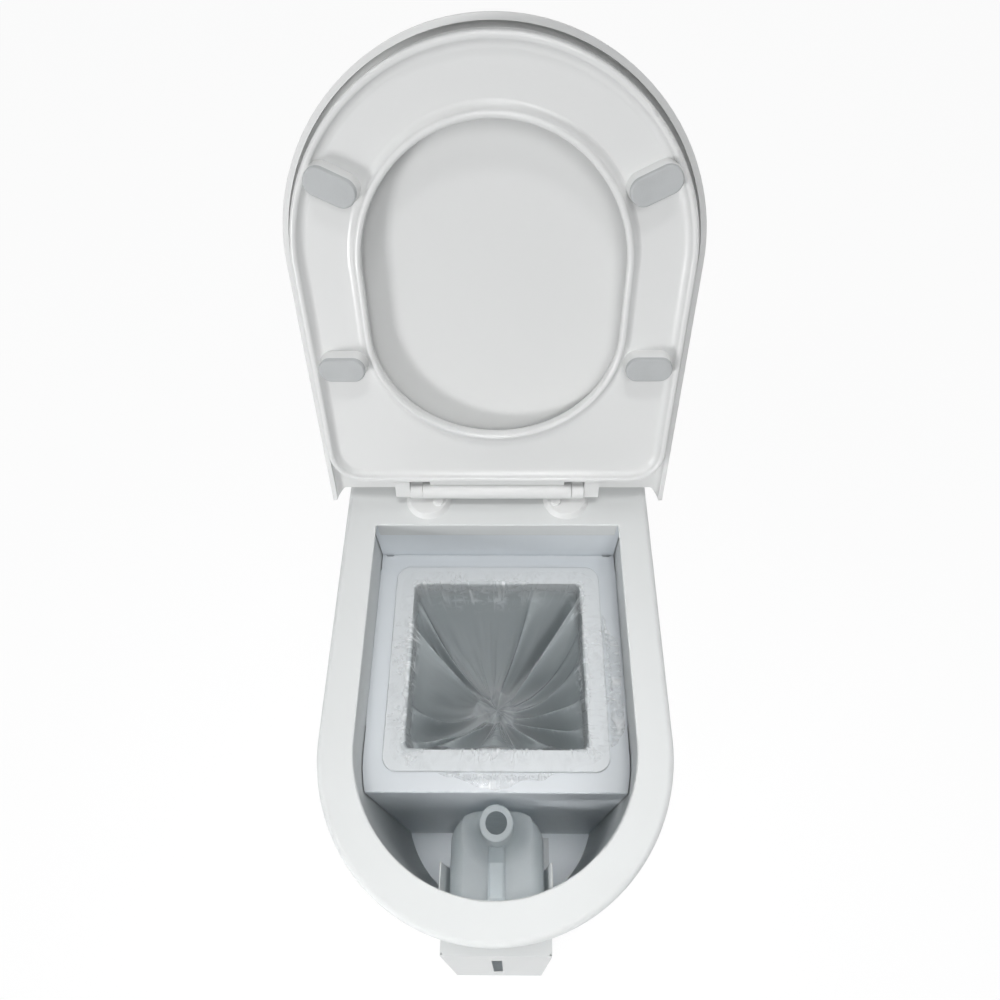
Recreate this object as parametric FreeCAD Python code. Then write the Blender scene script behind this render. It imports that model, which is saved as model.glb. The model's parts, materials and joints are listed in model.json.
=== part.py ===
import FreeCAD, Part
import math
import os

# A dry toilet that keeps urine and solids apart. All sizes are in millimetres.
# The origin is on the floor below the centre of the rim's round front, +Z is up and the front faces -Y.
# The seat and lid are stored open, as the toilet stands ready for use.

V = FreeCAD.Vector
X_AXIS = V(1, 0, 0)
Z_AXIS = V(0, 0, 1)
ORIGIN = V(0, 0, 0)
LEFT_AND_RIGHT = (("left", -1), ("right", 1))
overrun = 5.0                 # how far every cutting tool reaches past what it cuts
level_tolerance = 0.01        # for picking edges by their height

# Rim deck: a folded sheet with a rolled outer edge and a lip at the rear of its opening
rim_height = 500.0
rim_half = 170.0              # half the width, and the radius of the round front
rim_band = 35.0               # flange between the outer edge and the opening
rim_rear = 290.0              # rear edge of the deck
rim_sheet = 2.0
rim_skirt = 15.0              # depth of the turned-down outer edge
rim_roll = 6.0                # outer radius of the rolled edge
rim_rear_corner = 10.0
opening_rear = 230.0          # rear edge of the opening
opening_corner = 1.2
lip_depth = 24.0
lip_bend = 1.6                # outer radius of the bend between deck and lip

# Housing below the deck
shell_set_out = 8.0           # the shell stands this far outside the opening
shell_sheet = 2.0
shell_rear = 280.0
return_flange = 20.0          # the shell's inward flange behind which the rear panel is screwed
base_sheet = 2.0
panel_sheet = 1.5
back_sheet = 1.5
back_drop = 60.0              # how far the compartment's back runs below the shelf
fit_slit = 1.2                # slit between inner sheets and the shell

# Shelf and partition, one folded sheet, and its brackets
shelf_drop = 80.0             # from the rim's top to the shelf's top
shelf_sheet = 2.0
front_depth = 103.0           # from the partition's front face to the shell's inner front
shelf_rear_slit = 0.6         # between the shelf's rear edge and the compartment's back
shelf_bend = 1.8              # outer radius of the bend between shelf and partition
relief_edge = 4.5             # from the shelf's side to its relief slit
relief_length = 9.0
relief_width = 1.6
bracket_leg = 15.0
bracket_sheet = 2.0
bracket_front = 30.0
bracket_rear_gap = 20.0

# Rear panel's screws
screw_radius = 2.0
screw_head_radius = 4.0
screw_head_height = 1.6
screw_length = 8.0
screw_hole_gap = 0.3
screw_height_shares = (0.08, 0.5, 0.9)

# Solids bucket and its liner bag
flange_side_gap = 15.5        # from the rim's opening to the bucket's flange
flange_front_gap = 20.0       # from the partition to the flange
flange_rear_gap = 16.0        # from the opening's rear edge to the flange
flange_corner = 16.0
flange_thick = 4.0
flange_round = 1.4
flange_width = 21.5           # from the flange's edge to the bucket's mouth
bucket_wall = 2.2
bucket_corner = 6.0
bucket_draft = 14.0           # how far each wall leans in from mouth to bottom
bucket_floor_gap = 45.0       # from the base plate to the bucket's underside
bucket_rest_gap = 0.3
shelf_hole_gap = 3.0
bag_film = 0.8
bag_gap = 1.0                 # between bag and bucket
bag_rest_gap = 0.1            # between the bag's collar and the flange
bag_floor_gap = 6.0
bag_collar = 17.0             # how far the bag folds out over the flange

# Canister drawer
drawer_half = 59.0
drawer_top = 317.0
drawer_sheet = 1.5
drawer_run_gap = 0.4          # between drawer and base plate
drawer_side_gap = 1.5         # between drawer and the shell's gate
nose_reach = 40.0             # the nose's top edge, in front of the shell
nose_flare = 36.0             # how much further out the nose's foot stands
nose_lid_gap = 3.0            # from the shell to the nose's top plate
nose_corner = 8.0
cheek_rise = 50.0             # the side walls inside the shell, above the nose's top
wall_reach = 45.0             # how far the drawer's walls run back inside the shell
drawer_rear_gap = 2.5         # from the partition to the drawer's floor
drawer_stop_height = 12.0
slot_half = 6.0
slot_low = 69.0
slot_high = 257.0
relief_hole_radius = 1.0
relief_hole_inset = 1.6
guide_height = 16.0
guide_sheet = 2.0
guide_foot = 12.0
guide_gap = 0.8
guide_rear_gap = 6.0
gate_gap = 8.0                # above the canister's neck
gate_corner = 14.0

# Urine canister
canister_side_gap = 4.5
canister_front_gap = 6.0
canister_rear_gap = 0.6
canister_wall = 2.0
canister_corner = 32.0
shoulder_gap = 11.0           # from the nose's top plate to the canister's shoulder
shoulder_round = 15.0
flare_radius = 22.0           # hollow curve from the shoulder up into the neck
neck_rise = 63.0              # the neck's top, above the drawer's top edge
neck_set = 19.0               # the neck's axis, in front of the canister's rear
neck_foot_radius = 19.0
neck_radius = 16.5
neck_lip_radius = 18.3
neck_lip_height = 7.0
neck_lip_round = 2.0
neck_bore_radius = 11.5
handle_set = 13.0             # from the neck's axis forward to the handle's rear root
handle_half = 9.5
handle_thick = 12.0
handle_front_gap = 4.0        # from the nose's top plate to the handle's front
handle_lead = 15.0            # how far the finger gap's rear end slopes forward as it rises
handle_ramp = 14.0            # where its top leaves the neck, above the shoulder
handle_ramp_run = 22.0        # how far forward it takes to reach its full height
handle_clear = 17.0           # finger gap below the handle
handle_bevel = 6.5            # in the finger gap's front upper corner
handle_round = 4.0

# Hinge
hinge_y = 263.0
hinge_rise = 20.0             # hinge axis above the rim
hinge_spacing = 155.0         # between the two fixing holes
open_angle = 110.8            # from closed to open
rosette_radius = 25.5
rosette_top_radius = 21.5
rosette_height = 6.0
rosette_round = 1.2
stud_radius = 4.0
stud_seat = 3.2               # how far the stud goes up into the rosette
stud_length = 34.0
stud_gap = 0.15
deck_hole_gap = 0.6
washer_radius = 11.0
washer_height = 1.6
nut_radius = 8.0
nut_height = 9.0
wing_reach = 19.0
wing_half = 2.0
wing_rise = 5.0
cap_radius = 6.0
cap_height = 3.0
cap_round = 1.8
cap_inward = 11.5             # the cap, from the rosette's middle towards the part's middle
cap_forward = 6.0             # and towards the front
barrel_radius = 8.8
barrel_past = 4.5             # how far the barrel runs past the fixing holes' axes
post_width = 13.0
post_radius = 8.5
post_front = 1.0              # the post's stem, in front of the hinge axis
post_rise = 7.5               # the stem's square top, above the hinge axis
knuckle_drop = 5.8            # the lid's hinge knuckle, below the hinge axis
knuckle_round = 2.5
knuckle_clear = 1.5           # between knuckle and seat
knuckle_length = 16.0
knuckle_end = 2.0             # closed end of the lid's hinge knuckle
hinge_side_gap = 0.5
pin_radius = 4.0
pin_gap = 0.05
pin_insert = 20.0             # how far a pin runs into the barrel
pin_end_gap = 0.4

# Seat ring with its bumpers
seat_lift = 10.0              # the seat's lower lip above the rim
seat_thick = 26.0
seat_overhang = 8.0           # past the rim at each side
seat_set_back = 1.0           # behind the rim's front
seat_rear = 18.5              # the seat's rear edge, in front of the hinge axis
seat_corner = 36.0
seat_top_round = 9.0
seat_hole_round = 21.0         # on the opening's upper edge
seat_lip = 6.0
seat_lip_round = 2.8
seat_channel = 8.0
seat_channel_round = 7.0
seat_side_band = 61.0         # from the seat's side to its opening
seat_front_band = 58.0        # from the seat's front to its opening
hole_rear = 80.0              # rear end of the seat's opening, in front of the hinge axis
hole_rear_semi = 110.0
hole_front_semi = 122.0
tongue_half = 74.0
tongue_thick = 10.0
tongue_drop = 1.0             # its lower face, below the hinge axis
barrel_join = 0.1
bumper_length = 44.0
bumper_width = 23.5
bumper_corner = 11.3
bumper_thick = 5.0
bumper_round = 1.8
bumper_clear = 0.4            # between bumper and rim when the seat is down
bumper_set_in = 23.5          # bumper's middle, inside the rim's edge
bumper_front_angle = 25.5
bumper_rear_reach = 160.0     # rear bumpers, in front of the hinge axis
bumper_base_flare = 1.5

# Lid
lid_gap = 3.0                 # above the seat
lid_plate = 4.0
lid_wall = 5.0
lid_side_gap = 5.0
lid_front_gap = 4.0
lid_skirt = 13.0
lid_round = 8.0
lid_tail = 10.0               # the lid's rear edge, behind the hinge axis
lid_notch_tail = 3.0          # the same between the hinges, where it clears the rosettes
lid_notch_gap = 2.0           # from the rosettes to the notch's ends
knuckle_tail = 6.0            # the knuckle, behind the hinge axis
lid_inner_round = 6.0         # hollow curve between its plate and its side wall
ear_tail = 22.0               # the pointed ends of its side walls, behind the hinge axis
ear_base = 13.0               # their width where they leave the rear edge
ear_tip = 4.0                 # and at the tip
ear_hollow = 5.0              # hollow curve where they leave the rear edge
ear_shoulder = 4.0            # from the rear edge to where they start to thin

# Sizes that follow from the ones above
opening_half = rim_half - rim_band
rim_under = rim_height - rim_sheet
shell_half = opening_half + shell_set_out
shell_inner = shell_half - shell_sheet
inner_half = shell_inner - fit_slit
shelf_top = rim_height - shelf_drop
shelf_under = shelf_top - shelf_sheet
back_face = opening_rear + rim_sheet
partition_y = front_depth - shell_inner
partition_half = math.sqrt(inner_half ** 2 - min(partition_y, 0) ** 2)

flange_half = opening_half - flange_side_gap
flange_front = partition_y + flange_front_gap
flange_rear = opening_rear - flange_rear_gap
flange_under = shelf_top + bucket_rest_gap
flange_top = flange_under + flange_thick
bucket_y = (flange_front + flange_rear) / 2
mouth_x = 2 * (flange_half - flange_width)
mouth_y = flange_rear - flange_front - 2 * flange_width
bucket_bottom = base_sheet + bucket_floor_gap

drawer_bottom = base_sheet + drawer_run_gap
drawer_inner = drawer_half - drawer_sheet
drawer_floor_top = drawer_bottom + drawer_sheet
nose_y = -(shell_half + nose_reach)
foot_y = nose_y - nose_flare
plate_rear = -(shell_half + nose_lid_gap)
wall_rear = -(shell_half - wall_reach)
drawer_rear = partition_y - drawer_rear_gap
gate_half = drawer_half + drawer_side_gap

canister_half = drawer_inner - canister_side_gap
canister_rear = drawer_rear - drawer_sheet - canister_rear_gap
canister_front = nose_y + canister_front_gap
canister_y = (canister_front + canister_rear) / 2
shoulder_top = drawer_top - shoulder_gap
neck_top = drawer_top + neck_rise
neck_y = canister_rear - neck_set
gate_top = neck_top + gate_gap

hinge_z = rim_height + hinge_rise
stud_x = hinge_spacing / 2
rosette_top = rim_height + rosette_height
barrel_half = stud_x + barrel_past
post_inner = barrel_half + hinge_side_gap
post_outer = post_inner + post_width
knuckle_inner = post_outer + hinge_side_gap
knuckle_outer = knuckle_inner + knuckle_length

seat_bottom = rim_height + seat_lift
seat_top = seat_bottom + seat_thick
seat_half = rim_half + seat_overhang
seat_reach = hinge_y + rim_half - seat_set_back
seat_rear_y = hinge_y - seat_rear
seat_centre = hinge_y - seat_reach + seat_half
channel_top = seat_bottom + seat_channel
hole_half = seat_half - seat_side_band
hole_rear_y = hinge_y - hole_rear - hole_rear_semi
hole_front_y = hinge_y - seat_reach + seat_front_band + hole_front_semi
bumper_low = rim_height + bumper_clear
bumper_high = bumper_low + bumper_thick

lid_under = seat_top + lid_gap
lid_top = lid_under + lid_plate
lid_edge = lid_top - lid_skirt
lid_half = seat_half + lid_side_gap + lid_wall
lid_reach = seat_reach + lid_front_gap + lid_wall
lid_centre = hinge_y - lid_reach + lid_half
lid_rear_y = hinge_y + lid_tail
ear_y = hinge_y + ear_tail


def block(x0, x1, y0, y1, z0, z1):
    """A box between two corners."""
    return Part.makeBox(x1 - x0, y1 - y0, z1 - z0, V(x0, y0, z0))


def upright(radius, x, y, z0, z1):
    """A round bar along Z."""
    return Part.makeCylinder(radius, z1 - z0, V(x, y, z0), Z_AXIS)


def cross_bar(radius, x0, x1, y, z):
    """A round bar along X."""
    return Part.makeCylinder(radius, x1 - x0, V(x0, y, z), X_AXIS)


def bend(start, end, centre):
    """A quarter arc from start to end about a centre."""
    radius = (start - centre).Length
    outward = (start - centre) + (end - centre)
    return Part.Arc(start, centre + outward * (radius / outward.Length), end).toShape()


def d_face(half, rear, corner, centre=0.0):
    """A D outline: a half circle to the front, straight sides and a rear edge with rounded corners."""
    left = V(-half, centre, 0)
    right = V(half, centre, 0)
    edges = [Part.Arc(left, V(0, centre - half, 0), right).toShape()]
    if corner == 0:
        path = [right, V(half, rear, 0), V(-half, rear, 0), left]
        edges += [Part.makeLine(a, b) for a, b in zip(path, path[1:])]
        return Part.Face(Part.Wire(edges))
    side_r, side_l = V(half, rear - corner, 0), V(-half, rear - corner, 0)
    back_r, back_l = V(half - corner, rear, 0), V(corner - half, rear, 0)
    edges.append(Part.makeLine(right, side_r))
    edges.append(bend(side_r, back_r, V(half - corner, rear - corner, 0)))
    edges.append(Part.makeLine(back_r, back_l))
    edges.append(bend(back_l, side_l, V(corner - half, rear - corner, 0)))
    edges.append(Part.makeLine(side_l, left))
    return Part.Face(Part.Wire(edges))


def raised(face, z0, z1):
    """A flat face in the floor plane, raised to z0 and thickened up to z1."""
    solid = face.extrude(V(0, 0, z1 - z0))
    solid.translate(V(0, 0, z0))
    return solid


def rounded_wire(size_x, size_y, corner, y, z):
    """A level rectangle with rounded corners, centred on x = 0."""
    hx, hy = size_x / 2, size_y / 2
    signs = ((1, -1), (1, 1), (-1, 1), (-1, -1))
    edges = []
    ends = []
    for index, (sx, sy) in enumerate(signs):
        centre = V(sx * (hx - corner), y + sy * (hy - corner), z)
        along_x = centre + V(sx * corner, 0, 0)
        along_y = centre + V(0, sy * corner, 0)
        first, last = (along_y, along_x) if index % 2 == 0 else (along_x, along_y)
        ends.append((first, last))
        edges.append(bend(first, last, centre))
        if index > 0:
            edges.insert(-1, Part.makeLine(ends[index - 1][1], first))
    edges.append(Part.makeLine(ends[-1][1], ends[0][0]))
    return Part.Wire(edges)


def rounded_block(size_x, size_y, corner, y, z0, z1):
    """An upright block with rounded corners, centred on x = 0."""
    return raised(Part.Face(rounded_wire(size_x, size_y, corner, y, 0)), z0, z1)


def tapered(low, high):
    """A straight-sided solid between two level outlines."""
    return Part.makeLoft([low, high], True, True)


def profile_bar(points, x0, x1):
    """A bar along X whose section is a list of (y, z) points."""
    corners = [V(x0, y, z) for y, z in points]
    return Part.Face(Part.makePolygon(corners + corners[:1])).extrude(V(x1 - x0, 0, 0))


def egg(grow, z0, z1):
    """The seat's opening, widened all round by grow: two half ellipses and a straight stretch between."""
    half = hole_half + grow
    solid = block(-half, half, hole_front_y, hole_rear_y, z0, z1)
    for y, semi in ((hole_front_y, hole_front_semi + grow), (hole_rear_y, hole_rear_semi + grow)):
        centre = V(0, y, 0)
        tips = [V(half, y, 0), V(0, y + semi, 0)]
        near, far = sorted(tips, key=lambda tip: (tip - centre).Length)
        oval = Part.Ellipse(far, near, centre).toShape()
        solid = solid.fuse(raised(Part.Face(Part.Wire([oval])), z0, z1))
    return solid.removeSplitter()


def edges_at(shape, z, keep=lambda edge: True):
    """The edges that lie level at a height."""
    def level(edge):
        box = edge.BoundBox
        return abs(box.ZMin - z) < level_tolerance and abs(box.ZMax - z) < level_tolerance
    return [edge for edge in shape.Edges if level(edge) and keep(edge)]


def opened(shape):
    """A seat or lid piece turned from closed to open."""
    turned = shape.copy()
    turned.rotate(V(0, hinge_y, hinge_z), X_AXIS, -open_angle)
    return turned


def save(name, *solids):
    """Write one node; alike pieces share a node as separate solids."""
    shape = solids[0] if len(solids) == 1 else Part.makeCompound(list(solids))
    shape.exportStep(os.path.join("parts", name + ".step"))


def rim_deck():
    """The deck: a top plate with a rolled skirt, the opening, the rear lip and two hinge holes."""
    low = rim_height - rim_skirt
    deck = raised(d_face(rim_half, rim_rear, rim_rear_corner), low, rim_height)
    deck = deck.makeFillet(rim_roll, edges_at(deck, rim_height))
    hollow_half = rim_half - rim_sheet
    hollow_face = d_face(hollow_half, rim_rear - rim_sheet, rim_rear_corner - rim_sheet)
    hollow = raised(hollow_face, low - overrun, rim_under)
    hollow = hollow.makeFillet(rim_roll - rim_sheet, edges_at(hollow, rim_under))
    deck = deck.cut(hollow)
    opening = raised(d_face(opening_half, opening_rear, opening_corner), low, rim_height + overrun)
    deck = deck.cut(opening)
    lip_half = opening_half - opening_corner
    lip = block(-lip_half, lip_half, opening_rear, back_face, rim_height - lip_depth, rim_under)
    deck = deck.fuse(lip).removeSplitter()
    across = edges_at(deck, rim_height, lambda edge: edge.BoundBox.XLength > opening_half)
    rear_edge = [edge for edge in across if abs(edge.BoundBox.YMin - opening_rear) < level_tolerance]
    deck = deck.makeFillet(lip_bend, rear_edge)
    for _, side in LEFT_AND_RIGHT:
        hole_radius = stud_radius + deck_hole_gap
        deck = deck.cut(upright(hole_radius, side * stud_x, hinge_y, low, rim_height + overrun))
    return deck


def screw_places():
    """Where the rear panel's screws sit, as (x, z)."""
    x = shell_half - return_flange / 2
    heights = [base_sheet + share * (rim_under - base_sheet) for share in screw_height_shares]
    return [(side * x, z) for _, side in LEFT_AND_RIGHT for z in heights]


def screw_holes(shape):
    """Cut the rear panel's screw holes."""
    radius = screw_radius + screw_hole_gap
    start = shell_rear - shell_sheet - overrun
    length = shell_sheet + panel_sheet + 2 * overrun
    for x, z in screw_places():
        shape = shape.cut(Part.makeCylinder(radius, length, V(x, start, z), V(0, 1, 0)))
    return shape


def housing_shell():
    """The D-shaped wall, with flanges at its open rear and a gate for the drawer in front."""
    wall = raised(d_face(shell_half, shell_rear, 0), base_sheet, rim_under)
    room = raised(d_face(shell_inner, shell_rear - shell_sheet, 0), base_sheet - overrun, rim_under + overrun)
    wall = wall.cut(room)
    gap_half = shell_half - return_flange
    wall = wall.cut(block(-gap_half, gap_half, shell_rear - shell_sheet - overrun, shell_rear + overrun,
                          base_sheet - overrun, rim_under + overrun))
    gate = block(-gate_half, gate_half, -shell_half - overrun, partition_y, base_sheet - overrun, gate_top)
    upper = [edge for edge in edges_at(gate, gate_top) if edge.BoundBox.YLength > edge.BoundBox.XLength]
    wall = wall.cut(gate.makeFillet(gate_corner, upper))
    return screw_holes(wall)


def rear_panel():
    """The flat cover behind the shell."""
    panel = block(-shell_half, shell_half, shell_rear, shell_rear + panel_sheet, base_sheet, rim_under)
    return screw_holes(panel)


def rear_screws():
    """Pan-head screws through the rear panel and the shell's flanges."""
    screws = []
    face = shell_rear + panel_sheet
    for x, z in screw_places():
        head = Part.makeCylinder(screw_head_radius, screw_head_height, V(x, face, z), V(0, 1, 0))
        shank = Part.makeCylinder(screw_radius, screw_length, V(x, face - screw_length, z), V(0, 1, 0))
        screws.append(head.fuse(shank).removeSplitter())
    return screws


def shelf_and_partition():
    """One sheet: the shelf with the bucket's hole, bent down in front into the partition."""
    shelf_rear = back_face - shelf_rear_slit
    shelf = raised(d_face(inner_half, shelf_rear, 0), shelf_under, shelf_top)
    keep = block(-shell_half, shell_half, partition_y, shelf_rear, shelf_under, shelf_top)
    shelf = shelf.common(keep)
    partition = block(-partition_half, partition_half, partition_y, partition_y + shelf_sheet,
                      base_sheet, shelf_top)
    sheet = shelf.fuse(partition).removeSplitter()
    outer_x = mouth_x + 2 * (bucket_wall + shelf_hole_gap)
    outer_y = mouth_y + 2 * (bucket_wall + shelf_hole_gap)
    hole = rounded_block(outer_x, outer_y, bucket_corner + shelf_hole_gap, bucket_y,
                         shelf_under - overrun, shelf_top + overrun)
    sheet = sheet.cut(hole)
    for _, side in LEFT_AND_RIGHT:
        slit_outer = inner_half - relief_edge
        x0, x1 = sorted((side * slit_outer, side * (slit_outer - relief_length)))
        sheet = sheet.cut(block(x0, x1, shelf_rear - relief_width, shelf_rear + overrun,
                                shelf_under - overrun, shelf_top + overrun))
    front = edges_at(sheet, shelf_top, lambda edge: edge.BoundBox.YMax < partition_y + level_tolerance)
    return sheet.makeFillet(shelf_bend, front)


def shelf_bracket(side):
    """An angle against the shell's side that carries the shelf."""
    y0, y1 = bracket_front, back_face - bracket_rear_gap
    leg = block(shell_inner - bracket_sheet, shell_inner, y0, y1, shelf_under - bracket_leg, shelf_under)
    arm = block(shell_inner - bracket_leg, shell_inner, y0, y1, shelf_under - bracket_sheet, shelf_under)
    angle = leg.fuse(arm).removeSplitter()
    return angle if side > 0 else angle.mirror(ORIGIN, X_AXIS)


def solids_bucket():
    """A square bucket with leaning walls, hung by its flat flange."""
    outer_x, outer_y = mouth_x + 2 * bucket_wall, mouth_y + 2 * bucket_wall
    outer_corner = bucket_corner + bucket_wall
    low = rounded_wire(outer_x - 2 * bucket_draft, outer_y - 2 * bucket_draft, outer_corner, bucket_y,
                       bucket_bottom)
    high = rounded_wire(outer_x, outer_y, outer_corner, bucket_y, flange_top)
    flange = rounded_block(2 * flange_half, flange_rear - flange_front, flange_corner, bucket_y,
                           flange_under, flange_top)
    flange = flange.makeFillet(flange_round, edges_at(flange, flange_top))
    bucket = tapered(low, high).fuse(flange).removeSplitter()
    room_low = rounded_wire(mouth_x - 2 * bucket_draft, mouth_y - 2 * bucket_draft, bucket_corner, bucket_y,
                            bucket_bottom + bucket_wall)
    room_high = rounded_wire(mouth_x, mouth_y, bucket_corner, bucket_y, flange_top + overrun)
    return bucket.cut(tapered(room_low, room_high))


def liner_bag():
    """The bag in the bucket: a thin pouch with a collar over the bucket's flange."""
    collar_low = flange_top + bag_rest_gap
    collar_high = collar_low + bag_film
    drop = 2 * bag_gap
    side_x, side_y = mouth_x - drop, mouth_y - drop
    bottom_z = bucket_bottom + bucket_wall + bag_floor_gap
    outer_low = rounded_wire(side_x - 2 * bucket_draft, side_y - 2 * bucket_draft, bucket_corner, bucket_y,
                             bottom_z)
    outer_high = rounded_wire(side_x, side_y, bucket_corner, bucket_y, collar_high)
    pouch = tapered(outer_low, outer_high)
    collar = rounded_block(mouth_x + 2 * bag_collar, mouth_y + 2 * bag_collar, flange_corner, bucket_y,
                           collar_low, collar_high)
    thin = 2 * bag_film
    room_low = rounded_wire(side_x - 2 * bucket_draft - thin, side_y - 2 * bucket_draft - thin,
                            bucket_corner - bag_film, bucket_y, bottom_z + bag_film)
    room_high = rounded_wire(side_x - thin, side_y - thin, bucket_corner - bag_film, bucket_y,
                             collar_high + overrun)
    return pouch.fuse(collar).removeSplitter().cut(tapered(room_low, room_high))


def drawer_box():
    """The drawer's folded sheet: a sloped front with the level slot, a top plate and two side walls."""
    lean = math.atan2(nose_flare, drawer_top - drawer_bottom)
    front_y = drawer_sheet / math.cos(lean)
    cheek_top = drawer_top + cheek_rise
    outer = profile_bar([(wall_rear, drawer_bottom), (foot_y, drawer_bottom), (nose_y, drawer_top),
                         (plate_rear, drawer_top), (plate_rear, cheek_top), (wall_rear, cheek_top)],
                        -drawer_half, drawer_half)
    past = overrun * math.tan(lean)
    plate_under = drawer_top - drawer_sheet
    under_y = nose_y + front_y - drawer_sheet * math.tan(lean)
    room = profile_bar([(wall_rear + overrun, drawer_bottom - overrun),
                        (foot_y + front_y - past, drawer_bottom - overrun), (under_y, plate_under),
                        (plate_rear, plate_under), (plate_rear, cheek_top + overrun),
                        (wall_rear + overrun, cheek_top + overrun)], -drawer_inner, drawer_inner)
    box = outer.cut(room)
    box = box.cut(block(-slot_half, slot_half, foot_y - overrun, nose_y + front_y, slot_low, slot_high))
    for _, side in LEFT_AND_RIGHT:
        box = box.cut(upright(relief_hole_radius, side * (drawer_half - relief_hole_inset),
                              nose_y + relief_hole_inset, plate_under - overrun, drawer_top + overrun))
    corner_x, corner_z = drawer_half - nose_corner, drawer_bottom + nose_corner
    corner = block(corner_x, drawer_half + overrun, foot_y - overrun, foot_y + 2 * nose_corner,
                   drawer_bottom - overrun, corner_z)
    rounding = Part.makeCylinder(nose_corner, 2 * nose_corner + 2 * overrun,
                                 V(corner_x, foot_y - overrun, corner_z), V(0, 1, 0))
    return box.cut(corner.cut(rounding))


def drawer_floor():
    """The drawer's floor plate, with a low stop behind the canister."""
    lean = math.atan2(nose_flare, drawer_top - drawer_bottom)
    front = foot_y + drawer_sheet / math.cos(lean) + drawer_sheet * math.tan(lean)
    floor = block(-drawer_inner, drawer_inner - nose_corner, front, drawer_rear, drawer_bottom,
                  drawer_floor_top)
    side = block(-drawer_inner, drawer_inner, foot_y + 2 * nose_corner, drawer_rear, drawer_bottom,
                 drawer_floor_top)
    stop = block(-drawer_inner, drawer_inner, drawer_rear - drawer_sheet, drawer_rear, drawer_bottom,
                 drawer_bottom + drawer_stop_height)
    return floor.fuse(side).fuse(stop).removeSplitter()


def drawer_guide(side):
    """An angle on the base plate that leads the drawer's wall."""
    inner = drawer_half + guide_gap
    outer = inner + guide_sheet
    toe = outer + guide_foot
    front = -math.sqrt((shell_inner - fit_slit) ** 2 - toe ** 2)
    rear = partition_y - guide_rear_gap
    rail = block(inner, outer, front, rear, base_sheet, base_sheet + guide_height)
    foot = block(inner, toe, front, rear, base_sheet, base_sheet + guide_sheet)
    guide = rail.fuse(foot).removeSplitter()
    return guide if side > 0 else guide.mirror(ORIGIN, X_AXIS)


def canister_neck(inset):
    """The neck and its flare, turned about the neck's axis and made smaller by inset."""
    flare_top = shoulder_top + flare_radius
    flare_edge = neck_foot_radius + flare_radius
    low, high = shoulder_top - shoulder_round, neck_top - neck_lip_height
    outline = [(0, high), (0, low), (flare_edge, low), (flare_edge, shoulder_top - inset)]
    corners = [V(r, neck_y, z) for r, z in outline]
    foot, head = V(neck_foot_radius - inset, neck_y, flare_top), V(neck_radius - inset, neck_y, high)
    edges = [Part.makeLine(a, b) for a, b in zip(corners, corners[1:])]
    edges.append(bend(corners[-1], foot, V(flare_edge, neck_y, flare_top)))
    edges.append(Part.makeLine(foot, head))
    edges.append(Part.makeLine(head, corners[0]))
    return Part.Face(Part.Wire(edges)).revolve(V(0, neck_y, 0), Z_AXIS, 360)


def canister_form(inset):
    """The canister's body with its round shoulder and its neck, made smaller all round by inset."""
    size_x = 2 * (canister_half - inset)
    size_y = canister_rear - canister_front - 2 * inset
    corner = canister_corner - inset
    low = drawer_floor_top + inset
    top = shoulder_top - inset
    body = rounded_block(size_x, size_y, corner, canister_y, low, top)
    body = body.makeFillet(shoulder_round - inset, edges_at(body, top))
    neck = canister_neck(inset).common(rounded_block(size_x, size_y, corner, canister_y, low, neck_top))
    return body.fuse(neck).removeSplitter()


def canister_handle():
    """A bar that bridges from the neck's flare to the front shoulder, with room for fingers below."""
    bridge_low = shoulder_top + handle_clear
    bridge_high = bridge_low + handle_thick
    root = shoulder_top - shoulder_round
    start = neck_y - handle_set
    end = plate_rear + handle_front_gap
    gap_front = end + handle_thick
    gap_rear = start - handle_thick
    bar = profile_bar([(start, root), (start, shoulder_top + handle_ramp),
                       (start - handle_ramp_run, bridge_high), (gap_front, bridge_high),
                       (end, bridge_low), (end, root), (gap_front, root),
                       (gap_front, bridge_low - handle_bevel), (gap_front + handle_bevel, bridge_low),
                       (gap_rear - handle_lead, bridge_low), (gap_rear, root)], -handle_half, handle_half)
    along = [edge for edge in bar.Edges if edge.BoundBox.XLength < handle_round and edge.BoundBox.ZMin > root]
    return bar.makeFillet(handle_round, along)


def urine_canister():
    """A blow-moulded canister, hollow, with an open neck and a handle."""
    lip_low = neck_top - neck_lip_height
    lip = upright(neck_lip_radius, 0, neck_y, lip_low, neck_top)
    lip = lip.makeFillet(neck_lip_round, edges_at(lip, lip_low) + edges_at(lip, neck_top))
    canister = canister_form(0).fuse(canister_handle()).fuse(lip).removeSplitter()
    canister = canister.cut(canister_form(canister_wall))
    return canister.cut(upright(neck_bore_radius, 0, neck_y, shoulder_top, neck_top + overrun))


def hinge_rosette(side):
    """A round foot on the deck, with a blind hole for its stud and a small cap for the screw."""
    x = side * stud_x
    foot = V(x, hinge_y, rim_height)
    disc = Part.makeCone(rosette_radius, rosette_top_radius, rosette_height, foot, Z_AXIS)
    disc = disc.makeFillet(rosette_round, edges_at(disc, rosette_top))
    cap_top = rosette_top + cap_height
    cap_x, cap_y = side * (stud_x - cap_inward), hinge_y - cap_forward
    cap = upright(cap_radius, cap_x, cap_y, rosette_top - rosette_round, cap_top)
    cap = cap.makeFillet(cap_round, edges_at(cap, cap_top))
    hole = upright(stud_radius + stud_gap, x, hinge_y, rim_height - overrun, rim_height + stud_seat)
    return disc.fuse(cap).removeSplitter().cut(hole)


def hinge_post(side):
    """An upright arm on the rosette that holds the hinge pin."""
    x0, x1 = sorted((side * post_inner, side * post_outer))
    stem = block(x0, x1, hinge_y - post_front, hinge_y + post_radius, rosette_top, hinge_z + post_rise)
    head = cross_bar(post_radius, x0, x1, hinge_y, hinge_z)
    bore = cross_bar(pin_radius + pin_gap, x0 - overrun, x1 + overrun, hinge_y, hinge_z)
    return stem.fuse(head).removeSplitter().cut(bore)


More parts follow.
